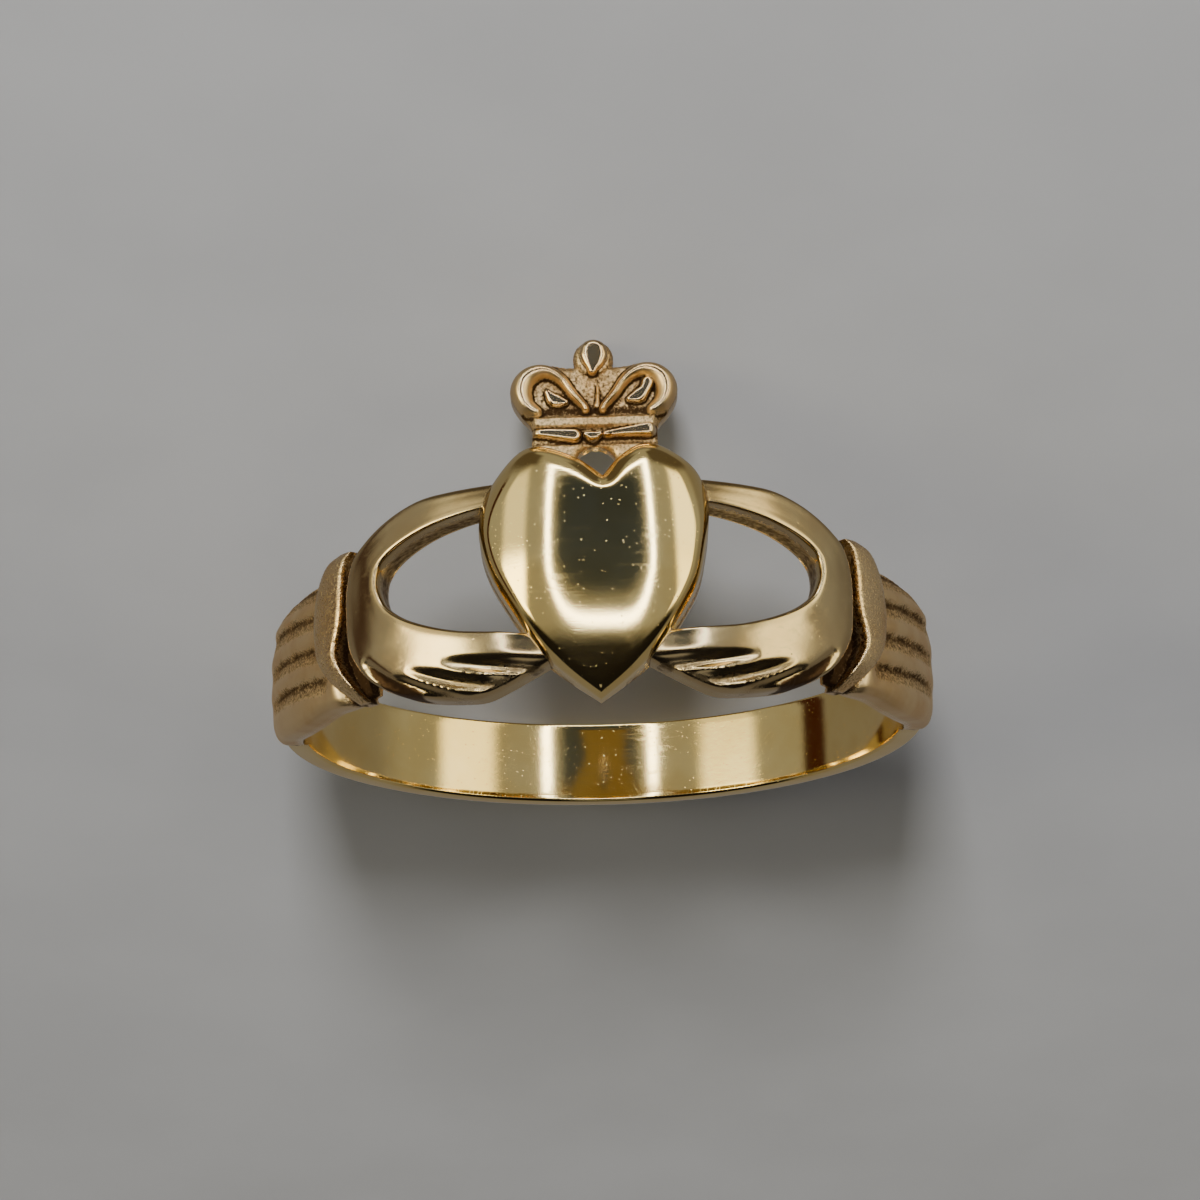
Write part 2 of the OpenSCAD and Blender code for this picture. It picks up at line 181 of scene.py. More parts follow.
# Back of the hand from its outer wall to the window: share of the width, share of the thickness
HAND_PROFILE = [
    (0.00, 0.20), (0.00, 0.52), (0.015, 0.71), (0.045, 0.83), (0.10, 0.893), (0.20, 0.922), (0.38, 0.942),
    (0.55, 0.960), (0.72, 0.974), (0.90, 0.985), (0.98, 0.955), (1.00, 0.86),
]
# Lines between the fingers: across, up and depth as shares
FINGER_LINES = [
    [(0.57, 0.163, 0.0), (0.49, 0.143, 0.5), (0.40, 0.124, 0.85), (0.30, 0.108, 1.0), (0.18, 0.100, 1.0)],
    [(0.71, 0.150, 0.0), (0.61, 0.100, 0.6), (0.51, 0.062, 0.95), (0.41, 0.042, 1.0), (0.32, 0.070, 0.8)],
    [(0.55, 0.045, 0.0), (0.49, 0.015, 0.5), (0.42, -0.02, 0.7)],
    [(0.80, 0.145, 0.0), (0.71, 0.085, 0.6), (0.62, 0.038, 0.8), (0.53, 0.002, 0.8), (0.44, -0.02, 0.6)],
]
# The rough pit below the last finger
HAND_PIT = [(0.880, 0.212, 0.4), (0.810, 0.120, 1.0), (0.735, 0.066, 1.0), (0.655, 0.034, 0.4)]

# Cuff from foot to top: up, near edge, far edge, thickness, all as shares
CUFF_STATIONS = [
    (0.000, -0.20, 0.10, 0.36), (0.088, -0.08, 0.38, 0.70), (0.198, 0.08, 0.64, 0.92),
    (0.330, 0.22, 0.88, 1.00), (0.505, 0.07, 1.02, 1.00), (0.659, 0.01, 1.00, 1.00),
    (0.813, 0.00, 0.87, 0.98), (0.940, -0.06, 0.62, 0.93), (1.000, -0.14, 0.30, 0.80),
]
# Sleeve from one edge to the other: share of the width, share of the thickness
SLEEVE_PROFILE = [
    (0.00, 0.30), (0.00, 0.60), (0.02, 0.74), (0.07, 0.86), (0.20, 0.96), (0.50, 1.00),
    (0.80, 0.96), (0.93, 0.86), (0.98, 0.74), (1.00, 0.60), (1.00, 0.30),
]
# Cuff from its near edge to its far edge: share of the width, share of the thickness
CUFF_PROFILE = [
    (0.00, 0.30), (0.00, 0.86), (0.012, 0.95), (0.04, 0.985), (0.12, 0.997), (0.45, 1.00),
    (0.75, 0.98), (0.91, 0.90), (0.975, 0.78), (1.00, 0.60), (1.00, 0.30),
]
# Sleeve from wrist to end: along, top, bottom, thickness, all as shares
SLEEVE_STATIONS = [
    (0.00, 0.98, 0.86, 0.62), (0.085, 0.96, 0.93, 0.66), (0.135, 0.955, 0.94, 0.95),
    (0.22, 0.95, 0.93, 0.975), (0.35, 0.96, 0.97, 1.00), (0.48, 0.97, 0.95, 1.00), (0.60, 0.93, 0.88, 1.00),
    (0.72, 0.86, 0.79, 0.98), (0.86, 0.74, 0.70, 0.94), (1.00, 0.55, 0.55, 0.72),
]
# Folds: up beside the cuff and up at the far end, as shares of half the sleeve's width
FOLD_LINES = [(0.86, 1.06), (0.42, 0.70), (-0.06, 0.24), (-0.52, -0.22)]
FOLD_SPAN = (0.17, 0.86)

# Crown outline, half of it from foot to tip: across, up
CROWN_HALF = [
    (0.750, 0.00), (0.752, 0.20), (0.755, 0.36), (0.870, 0.45), (0.965, 0.54), (1.000, 0.63),
    (0.950, 0.73), (0.800, 0.81), (0.600, 0.83), (0.400, 0.81), (0.240, 0.80),
]
CROWN_FOOT = HEART_H * 0.894 - HEART_DROP
CROWN_H = CROWN_TOP - CROWN_FOOT
FINIAL_R = 0.12 * CROWN_W
WINDOW_R = 0.58
WINDOW_TOP = 0.21
# Raised ridge of a loop from the middle over the top to its outer end: across, up, radius
LOOP_RIDGE = [
    (0.10, 0.470, 0.12), (0.13, 0.504, 0.13), (0.25, 0.587, 0.15), (0.38, 0.693, 0.17),
    (0.54, 0.755, 0.22), (0.70, 0.750, 0.28), (0.83, 0.695, 0.32), (0.87, 0.605, 0.32),
    (0.82, 0.515, 0.28), (0.70, 0.460, 0.20),
]
# Small polished forms: height, then across, up and radius along the middle of each
CROWN_DROPS = [
    (0.22, [(-0.560, 0.610, 0.07), (-0.485, 0.553, 0.20), (-0.408, 0.534, 0.17), (-0.340, 0.527, 0.08)]),
    (0.22, [(0.642, 0.661, 0.19), (0.609, 0.615, 0.16), (0.532, 0.566, 0.22), (0.430, 0.541, 0.11)]),
    (0.24, [(-0.790, 0.309, 0.08), (-0.516, 0.299, 0.16), (-0.245, 0.283, 0.21)]),
    (0.26, [(0.130, 0.286, 0.09), (0.377, 0.303, 0.15), (0.640, 0.318, 0.22)]),
    (0.26, [(-0.110, 0.286, 0.07), (-0.023, 0.272, 0.16), (0.064, 0.286, 0.07)]),
    (0.26, [(0.006, 0.905, 0.39), (0.006, 0.868, 0.42), (0.000, 0.806, 0.31), (-0.010, 0.755, 0.14)]),
]
# The thin seam under the finial, in the same way
CROWN_SEAM = (0.12, [(0.040, 0.500, 0.11), (0.044, 0.560, 0.06), (0.046, 0.640, 0.05)])

# Dark film and painted shade, as a share, on each kind of place. Each name says which it is
CREASE_SHADE = 0.70
PIT_SHADE = 0.95
WALL_SHADE = 0.60
LINE_FILM_AND_SHADE = 0.45
CUFF_SHADE = 0.2
CUFF_EDGE_SHADE = 0.65
SLEEVE_EDGE_SHADE = 0.2
FOLD_FILM_AND_SHADE = 0.50
FOLD_DEEP_SHADE = 0.35
CROWN_CREASE_SHADE = 0.35
CROWN_GROUND_FILM_AND_SHADE = 0.40
CROWN_HOLLOW_SHADE = 0.60
# The crown's dark stripe over its strip, which is painted shade, and the thin film on the strip itself
STRIPE_SHADE = 0.45
STRIPE_EDGES = ((5.32, 5.40), (5.46, 5.62))
STRIP_FILM = 0.32
STRIP_FILM_EDGES = ((4.9, 5.0), (5.3, 5.4))


def curve_at(rows, u):
    """Smooth curve at places u, where whole numbers are the rows themselves: between two neighbours each
    column is the cubic that passes through both with the slope of the rows beside them."""
    p = np.asarray(rows, float)
    padded = np.vstack([p[:1], p, p[-1:]])
    i = np.minimum(u.astype(int), len(p) - 2)
    f = (u - i)[:, None]
    a, b, c, d = padded[i], padded[i + 1], padded[i + 2], padded[i + 3]
    cubic = (3 * b - a - 3 * c + d) * f**3
    return (2 * b + (c - a) * f + (2 * a - 5 * b + 4 * c - d) * f**2 + cubic) / 2


def smooth_rows(rows, steps):
    """The curve through the rows, with steps points in each interval."""
    return curve_at(rows, np.linspace(0, len(rows) - 1, (len(rows) - 1) * steps + 1))


def even_rows(rows, count):
    """The same curve with count points, the same distance apart in its first two columns."""
    fine = smooth_rows(rows, steps=24)
    step = np.linalg.norm(np.diff(fine[:, :2], axis=0), axis=1)
    along = np.hstack([[0.0], np.cumsum(step)])
    even = np.linspace(0, along[-1], count)
    return np.stack([np.interp(even, along, column) for column in fine.T], axis=1)


def round_finger(angle, up, radius):
    """Points at an angle round the finger's axis, a height along it and a distance from it."""
    angle, up, radius = np.broadcast_arrays(angle, up, radius)
    return np.stack([radius * np.sin(angle), up, radius * np.cos(angle)], axis=-1)


def on_ring(arc, up, thick):
    """Points at an arc length from the middle of the head, a height along the finger and a height above
    the finger hole: the angle is the arc length over the head's radius."""
    return round_finger(arc / ARC_R, up, FINGER_R + thick)


def foot_of(arc, up):
    """The column of points below a form's edge, inside the finger hole."""
    return on_ring(arc, up, -ROOT)[:, None]


def path_distance(a, b, path):
    """Distance from each point (a, b) to the nearest place on a path of straight steps, and the path's
    third column there: the foot of the perpendicular on each step, kept between the step's two ends."""
    start = path[:-1].T
    step = np.diff(path, axis=0).T
    a, b = a[..., None], b[..., None]
    along = (a - start[0]) * step[0] + (b - start[1]) * step[1]
    share = np.clip(along / (step[0] ** 2 + step[1] ** 2), 0, 1)
    distance = np.hypot(a - (start[0] + share * step[0]), b - (start[1] + share * step[1]))
    nearest = distance.argmin(axis=-1)[..., None]
    third = start[2] + share * step[2]
    return np.take_along_axis(distance, nearest, -1)[..., 0], np.take_along_axis(third, nearest, -1)[..., 0]


def edge_distance(a, b, outline):
    """Distance from each point (a, b) to a closed outline."""
    loop = np.column_stack([outline, np.zeros(len(outline))])
    return path_distance(a, b, np.vstack([loop, loop[:1]]))[0]


def step_up(x, low, high):
    """0 below low, 1 above high, and the smooth cubic 3x^2 - 2x^3 between them."""
    t = np.clip((x - low) / (high - low), 0, 1)
    return t * t * (3 - 2 * t)


def step_between(x, foot, top):
    """1 between two soft edges and 0 outside them. An edge is a pair: where it starts and where it ends."""
    return step_up(x, *foot) * (1 - step_up(x, *top))


def casting_skin(a, b, cell, seed):
    """Low random bumps from -1 to 1 on a plane: random heights stand on a square net of cells, and between
    four of them the height is blended with the smooth cubic 3x^2 - 2x^3."""
    i = np.floor(a / cell).astype(int)
    j = np.floor(b / cell).astype(int)
    f = step_up(a / cell - i, 0, 1)
    g = step_up(b / cell - j, 0, 1)
    i = i - i.min()
    j = j - j.min()
    net = np.random.default_rng(seed).uniform(-1, 1, (i.max() + 2, j.max() + 2))
    low = net[i, j] * (1 - f) + net[i + 1, j] * f
    high = net[i, j + 1] * (1 - f) + net[i + 1, j + 1] * f
    return low * (1 - g) + high * g


def place_object(name, data):
    """A new object in the scene that holds the data."""
    thing = bpy.data.objects.new(name, data)
    bpy.context.scene.collection.objects.link(thing)
    return thing


def new_piece(name, points, faces, film, satin, finish):
    """A mesh object from points and faces, with its finish. Every point holds a share of dark film and
    painted shade, a share of satin, which is 0 where the polish reached, and a mark that says that it was
    there before any cut."""
    mesh = bpy.data.meshes.new(name)
    mesh.from_pydata(points.tolist(), [], faces)
    mesh.materials.append(finish)
    for label, values in (("film", film), ("satin", satin), ("cast", 1.0)):
        share = mesh.attributes.new(label, "FLOAT", "POINT")
        share.data.foreach_set("value", np.broadcast_to(np.float32(values), len(points)).copy())
    mesh.update()
    return place_object(name, mesh)


def outward(points, quads, triangles):
    """Faces as lists, all turned over if the signed volume that they close is negative."""
    fans = np.vstack([quads[:, [0, 1, 2]], quads[:, [0, 2, 3]], triangles])
    a, b, c = (points[fans[:, k]] for k in range(3))
    if np.einsum("ij,ij->", a, np.cross(b, c)) < 0:
        quads = quads[:, ::-1]
        triangles = triangles[:, ::-1]
    return quads.tolist() + triangles.tolist()


def tube(name, grid, film, satin, finish):
    """A closed body from a grid of points: rows are sections, each section closes on itself, and a fan
    round the mean of the first and last section closes the ends."""
    n, m = grid.shape[:2]
    points = np.vstack([grid.reshape(-1, 3), grid[0].mean(0), grid[-1].mean(0)])
    i, j = np.meshgrid(np.arange(n - 1), np.arange(m), indexing="ij")
    k = (j + 1) % m
    quads = np.stack([i * m + j, (i + 1) * m + j, (i + 1) * m + k, i * m + k], axis=-1).reshape(-1, 4)
    j = np.arange(m)
    k = (j + 1) % m
    first = np.stack([np.full(m, n * m), j, k], axis=-1)
    last = np.stack([np.full(m, n * m + 1), (n - 1) * m + k, (n - 1) * m + j], axis=-1)
    film = np.broadcast_to(film, (n, m))
    films = np.hstack([film.ravel(), [film[0].mean(), film[-1].mean()]])
    return new_piece(name, points, outward(points, quads, np.vstack([first, last])), films, satin, finish)


def prism(name, outline, low, high, finish):
    """Straight walls between two copies of an outline, which close both ends."""
    n = len(outline)
    points = np.vstack([np.column_stack([outline, np.full(n, level)]) for level in (low, high)])
    i = np.arange(n)
    j = (i + 1) % n
    walls = np.stack([i, j, j + n, i + n], axis=-1).tolist()
    caps = [i[::-1].tolist(), (i + n).tolist()]
    # The walls get painted shade
    return new_piece(name, points, walls + caps, WALL_SHADE, 1.0, finish)


def combine(piece, others, operation):
    """One exact solid from a piece and others, each with its own finish and film. The others are removed."""
    for other in others:
        cut = piece.modifiers.new(other.name, "BOOLEAN")
        cut.operation = operation
        cut.object = other
        cut.solver = "MANIFOLD"
        cut.material_mode = "TRANSFER"
    graph = bpy.context.evaluated_depsgraph_get()
    mesh = bpy.data.meshes.new_from_object(piece.evaluated_get(graph))
    piece.modifiers.clear()
    piece.data = mesh
    for other in others:
        bpy.data.objects.remove(other)


def paint_crease_shade(piece, film):
    """Points made where two forms cross have no cast mark yet. They get the mark and a crease's painted
    shade.
    """
    marks, films = (piece.data.attributes[label].data for label in ("cast", "film"))
    cast, filmed = np.zeros((2, len(marks)))
    marks.foreach_get("value", cast)
    films.foreach_get("value", filmed)
    filmed[cast < 0.5] = film
    films.foreach_set("value", filmed)
    marks.foreach_set("value", np.ones(len(cast)))


def add_node(tree, kind, values, **settings):
    """A shader node with its settings. Each value gives an input, by name or number, a number, a colour or
    another node's output."""
    node = tree.nodes.new("ShaderNode" + kind)
    for key, value in settings.items():
        setattr(node, key, value)
    for key, value in values.items():
        if isinstance(value, bpy.types.NodeSocket):
            tree.links.new(value, node.inputs[key])
        else:
            node.inputs[key].default_value = value
    return node


def calc(tree, operation, *values):
    """The result of a Math node."""
    return add_node(tree, "Math", dict(enumerate(values)), operation=operation).outputs[0]


def ramp(tree, value, low, high, bottom=0.0, top=1.0):
    """A number that runs smoothly from bottom to top while the value runs from low to high."""
    values = {"Value": value, "From Min": low, "From Max": high, "To Min": bottom, "To Max": top}
    return add_node(tree, "MapRange", values, interpolation_type="SMOOTHSTEP").outputs[0]


def blend(tree, share, first, second):
    """The first colour where the share is 0 and the second where it is 1. Inputs 6 and 7 of the Mix node
    are its two colours, and output 2 is their blend."""
    values = {"Factor": share, 6: first, 7: second}
    return add_node(tree, "Mix", values, data_type="RGBA").outputs[2]


def noise(tree, place, scale, detail, rough=0.5):
    """A noise from 0 to 1 with so many grains per metre."""
    values = {"Vector": place, "Scale": scale, "Detail": detail, "Roughness": rough}
    return add_node(tree, "TexNoise", values).outputs["Fac"]


def new_group(name, inputs, outputs):
    """An empty shader node group with named inputs, each with its value, and named outputs."""
    group = bpy.data.node_groups.new(name, "ShaderNodeTree")
    for label, kind, value in inputs:
        socket = group.interface.new_socket(label, in_out="INPUT", socket_type="NodeSocket" + kind)
        if value is not None:
            socket.default_value = value
    for label, kind in outputs:
        group.interface.new_socket(label, in_out="OUTPUT", socket_type="NodeSocket" + kind)
    return group, group.nodes.new("NodeGroupInput").outputs, group.nodes.new("NodeGroupOutput").inputs


def gold_tone_group():
    """The colour of the gold: a slow mottle between two tones of the alloy."""
    group, given, result = new_group("gold_tone", [
        ("Place", "Vector", None), ("Patches per metre", "Float", 500.0),
        ("Pale", "Color", (0.8, 0.6, 0.4, 1)), ("Deep", "Color", (0.7, 0.5, 0.3, 1)),
    ], [("Colour", "Color")])
    patches = noise(group, given["Place"], given["Patches per metre"], 3.0, 0.6)
    share = ramp(group, patches, 0.35, 0.65)
    group.links.new(blend(group, share, given["Pale"], given["Deep"]), result["Colour"])
    return group


def dark_film_and_shade_group():
    """The dark film and painted shade in the hollows: the given share broken up by fine grains, as a smooth
    step of share + 2 * raggedness * (grains - 0.5), and nothing where the share is 0."""
    group, given, result = new_group("dark_film_and_shade", [
        ("Place", "Vector", None), ("Share", "Float", 0.0), ("Grains per metre", "Float", 7000.0),
        ("Raggedness", "Float", 0.5),
    ], [("Film and shade", "Float")])
    grains = noise(group, given["Place"], given["Grains per metre"], 3.0, 0.65)
    centred = calc(group, "SUBTRACT", grains, 0.5)
    ragged = calc(group, "MULTIPLY", centred, given["Raggedness"])
    share = calc(group, "MULTIPLY_ADD", ragged, 2.0, given["Share"])
    shown = ramp(group, share, 0.12, 0.85)
    present = ramp(group, given["Share"], 0.0, 0.12)
    group.links.new(calc(group, "MULTIPLY", shown, present), result["Film and shade"])
    return group


def polish_marks_group():
    """What polishing leaves: long fine scratches in two directions, which show in patches, and small round
    pits. The roughness rises in the patches and on the scratches, and the height falls on the scratches
    and in the pits."""
    group, given, result = new_group("polish_marks", [
        ("Place", "Vector", None), ("Scratches per metre", "Float", 9000.0),
        ("Pits per metre", "Float", 4000.0), ("Pit size", "Float", 0.12),
        ("Least roughness", "Float", 0.06), ("Most roughness", "Float", 0.14),
    ], [("Roughness", "Float"), ("Height", "Float")])
    scratches = []
    for turn, stretch in ((0.4, 0.05), (1.9, 0.08)):
        values = {"Vector": given["Place"], "Rotation": (0.2, turn, 0.3), "Scale": (stretch, 1.0, 1.0)}
        along = add_node(group, "Mapping", values).outputs[0]
        lines = noise(group, along, given["Scratches per metre"], 2.0)
        scratches.append(ramp(group, lines, 0.56, 0.72))
    scratched = calc(group, "MAXIMUM", *scratches)
    pits = add_node(group, "TexVoronoi", {"Vector": given["Place"], "Scale": given["Pits per metre"]})
    pitted = ramp(group, pits.outputs["Distance"], 0.0, given["Pit size"], 1.0, 0.0)
    patches = noise(group, given["Place"], 700.0, 2.0)
    worn = calc(group, "MULTIPLY", scratched, ramp(group, patches, 0.42, 0.62))
    spread = calc(group, "SUBTRACT", given["Most roughness"], given["Least roughness"])
    share = calc(group, "MULTIPLY_ADD", patches, 0.5, worn)
    rough = calc(group, "MULTIPLY_ADD", share, spread, given["Least roughness"])
    group.links.new(rough, result["Roughness"])
    sunk = calc(group, "MULTIPLY_ADD", worn, -0.10, calc(group, "MULTIPLY", pitted, -1.0))
    group.links.new(calc(group, "ADD", sunk, 1.0), result["Height"])
    return group


def cast_grain_group():
    """The skin of a casting as a height: a noise of coarse and fine grains times its depth."""
    group, given, result = new_group("cast_grain", [
        ("Place", "Vector", None), ("Grains per metre", "Float", 6000.0), ("Depth", "Float", 1.0),
    ], [("Height", "Float")])
    grains = noise(group, given["Place"], given["Grains per metre"], 4.0, 0.6)
    group.links.new(calc(group, "MULTIPLY", grains, given["Depth"]), result["Height"])
    return group


GOLD_TONE = gold_tone_group()
DARK_FILM_AND_SHADE = dark_film_and_shade_group()
POLISH_MARKS = polish_marks_group()
CAST_GRAIN = cast_grain_group()
# The colour of the dark film and painted shade, what it and satin add to the roughness, and the height of
# the marks in metres
FILM_AND_SHADE_COLOUR = (0.10, 0.055, 0.025, 1)
FILM_ROUGHNESS = 0.45
SATIN_ROUGHNESS = 0.30
MARK_DEPTH = 4e-6


def gold_finish(name, tone, film, marks, grain):
    """A gold material from the four groups, each with its own values for this finish. The piece's film and
    satin attributes say where the gold is darkened by film and painted shade and where it is matt."""
    material = bpy.data.materials.new(name)
    material.use_nodes = True
    tree = material.node_tree
    shader = tree.nodes["Principled BSDF"]
    shader.inputs["Metallic"].default_value = 1.0
    place = add_node(tree, "TexCoord", {}).outputs["Object"]
    # The film attribute holds dark film and painted shade together
    share = add_node(tree, "Attribute", {}, attribute_name="film").outputs["Fac"]
    colour = add_node(tree, "Group", {"Place": place, **tone}, node_tree=GOLD_TONE)
    filmed = add_node(tree, "Group", {"Place": place, "Share": share, **film}, node_tree=DARK_FILM_AND_SHADE)
    marked = add_node(tree, "Group", {"Place": place, **marks}, node_tree=POLISH_MARKS)
    grained = add_node(tree, "Group", {"Place": place, **grain}, node_tree=CAST_GRAIN)
    dark = filmed.outputs["Film and shade"]
    gold = blend(tree, dark, colour.outputs["Colour"], FILM_AND_SHADE_COLOUR)
    tree.links.new(gold, shader.inputs["Base Color"])
    satin = add_node(tree, "Attribute", {}, attribute_name="satin").outputs["Fac"]
    rough = calc(tree, "MULTIPLY_ADD", dark, FILM_ROUGHNESS, marked.outputs["Roughness"])
    rough = calc(tree, "MULTIPLY_ADD", satin, SATIN_ROUGHNESS, rough)
    tree.links.new(rough, shader.inputs["Roughness"])
    depth = calc(tree, "MULTIPLY_ADD", dark, 3.0, calc(tree, "MULTIPLY_ADD", satin, 0.8, 0.2))
    ground = calc(tree, "MULTIPLY", grained.outputs["Height"], depth)
    height = calc(tree, "ADD", marked.outputs["Height"], ground)
    bump = add_node(tree, "Bump", {"Height": height, "Distance": MARK_DEPTH, "Strength": 1.0})
    tree.links.new(bump.outputs["Normal"], shader.inputs["Normal"])
    return material


def polished_gold():
    """Mirror polish with fine pits and rubbing marks: the heart and the inside of the band."""
    return gold_finish(
        "polished_gold",
        {"Patches per metre": 400.0, "Pale": (0.93, 0.72, 0.31, 1), "Deep": (0.87, 0.64, 0.24, 1)},
        {"Grains per metre": 6000.0, "Raggedness": 0.5},
        {"Scratches per metre": 9000.0, "Pits per metre": 6400.0, "Pit size": 0.13,
         "Least roughness": 0.08, "Most roughness": 0.13},
        {"Grains per metre": 5200.0, "Depth": 0.9},
    )


def shaded_hand_gold():
    """A softer polish, worn by handling: the hands. Its darker gold is painted shade."""
    # The hands' gold is a darker copy of the polished gold: painted shade
    return gold_finish(
        "shaded_hand_gold",
        {"Patches per metre": 500.0, "Pale": (0.62, 0.48, 0.25, 1), "Deep": (0.56, 0.41, 0.20, 1)},
        {"Grains per metre": 6000.0, "Raggedness": 0.5},
        {"Scratches per metre": 7000.0, "Pits per metre": 3000.0, "Pit size": 0.10,
         "Least roughness": 0.12, "Most roughness": 0.19},
        {"Grains per metre": 5000.0, "Depth": 1.2},
    )


def cast_gold():
    """Satin casting skin, brown in its hollows with film and painted shade: the crown, the cuffs and the
    sleeves.
    """
    return gold_finish(
        "cast_gold",
        {"Patches per metre": 700.0, "Pale": (0.87, 0.65, 0.35, 1), "Deep": (0.78, 0.53, 0.25, 1)},
        {"Grains per metre": 13000.0, "Raggedness": 0.8},
        {"Scratches per metre": 6000.0, "Pits per metre": 5000.0, "Pit size": 0.16,
         "Least roughness": 0.07, "Most roughness": 0.14},
        {"Grains per metre": 8000.0, "Depth": 1.6},
    )


POLISHED = polished_gold()
SHADED_HAND_GOLD = shaded_hand_gold()
CAST = cast_gold()


def band():
    """A profile carried round the finger from cuff to cuff, sunk a little under the sleeves. Its back is the
    circle through both edges and the middle line, and its corners are quarter circles."""
    end = (HAND_W + CUFF_GAP + CUFF_W / 2) / ARC_R
    sag = BAND_T - BAND_EDGE_T
    dome_r = (sag**2 + BAND_W**2 / 4) / (2 * sag)
    side = BAND_W / 2 - BAND_ROUND
    turn = np.linspace(0, np.pi / 2, num=5)
    outer_up = np.linspace(-side, side, num=15)
    outer = np.sqrt(dome_r**2 - outer_up**2) - dome_r + BAND_T
    edge_out = outer[-1] - BAND_ROUND
    corner = np.stack([np.cos(turn[:-1]), np.sin(turn[:-1])], axis=-1) * BAND_ROUND + [side, edge_out]
    inner = np.stack([np.sin(turn), 1 - np.cos(turn)], axis=-1) * BAND_ROUND + [side, 0]
    right = np.vstack([[[side, -ROOT]], inner, corner])
    left = right[::-1] * [-1, 1]
    middle = np.stack([outer_up, outer], axis=-1)[::-1]
    profile = np.vstack([right, middle, left])
    angle = np.linspace(end, 2 * np.pi - end, num=300)[:, None]
    arc = ARC_R * np.minimum(angle, 2 * np.pi - angle)
    sunk = BAND_SUNK * (1 - step_up(arc, SLEEVE_REACH - 2.2, SLEEVE_REACH - 0.3))
    radius = FINGER_R + profile[:, 1] - sunk * step_up(profile[:, 1], BAND_ROUND, BAND_EDGE_T)
    return tube("band", round_finger(angle, profile[:, 0], radius), 0.0, 0.0, POLISHED)


def heart():
    """A pillow: rings lie a share of the way from the middle to the edge, and the further in they lie the
    nearer they are to an oval. The face stands at middle - side fall * |across|^3 - end fall * up^2, with
    both measured as shares of the way to the edge. With near = 1 - distance / round, it also falls by
    edge * near^2 * (0.6 + 0.4 near^2) + corner * (1 - sqrt(1 - near^8)) close to the wall."""
    size = np.array([HEART_W, HEART_H])
    left = even_rows(np.array(HEART_LEFT) * size, count=110)
    right = even_rows(np.array(HEART_RIGHT) * size, count=110)
    outline = np.vstack([left[:-1], right[:-1]]) - [0, HEART_DROP]
    middle = np.array(HEART_MIDDLE) * size - [0, HEART_DROP]
    ray = outline - middle
    angle = np.arctan2(ray[:, 1], ray[:, 0])
    oval = HEART_OVAL * HEART_W * np.stack([np.cos(angle), np.sin(angle)], axis=-1)
    share = np.sin(np.linspace(np.pi / 2, 0, num=42)[:-1])[:, None, None]
    rings = middle + share * (share**2 * ray + (1 - share**2) * oval)
    side = np.abs(rings[..., 0]) / (HEART_W / 2)
    end = (rings[..., 1] - HEART_TOP_UP) / (HEART_DROP + HEART_TOP_UP)
    distance = edge_distance(rings[..., 0], rings[..., 1], outline)
    round_r = HEART_EDGE_R + (HEART_LOBE_R - HEART_EDGE_R) * step_up(rings[..., 1], *HEART_LOBE_UP)
    near = np.clip(1 - distance / round_r, 0, 1)
    fall = HEART_EDGE_R * near**2 * (0.6 + 0.4 * near**2)
    fall = fall + HEART_CORNER_R * (1 - np.sqrt(1 - near**8))
    face = FINGER_R + HEART_T - HEART_SIDE_FALL * side**3 - HEART_END_FALL * end**2 - fall
    foot = np.sqrt(FINGER_R**2 - HEART_W**2 / 4) - ROOT
    wall_top = face[0] - HEART_WALL_DROP
    low = np.stack([np.full(len(outline), foot), np.full(len(outline), FINGER_R), wall_top])
    flat = np.vstack([np.stack([outline] * 3), rings])
    grid = np.dstack([flat, np.vstack([low, face])])
    film = np.zeros(flat.shape[:2])
    # The heart's wall gets painted shade
    film[:2] = WALL_SHADE
    return tube("heart", grid, film, 0.0, POLISHED)


def finger_groove(arc, up, lines):
    """Share of the depth of the lines between the fingers: each is its own share times the bell curve
    exp(-(distance / width)^2), less wide where it is shallow. Together they are the cube root of the sum
    of their cubes, which rounds the finger between two lines."""
    depth = np.zeros_like(arc)
    for line in lines:
        path = even_rows(np.array(line) * [HAND_W, HAND_H, 1] - [0, HAND_DROP, 0], count=40)
        distance, share = path_distance(arc, up, path)
        width = FINGER_LINE_W * (0.6 + 0.4 * share)
        depth += (share * np.exp(-((distance / width) ** 2))) ** 3
    return np.cbrt(depth)


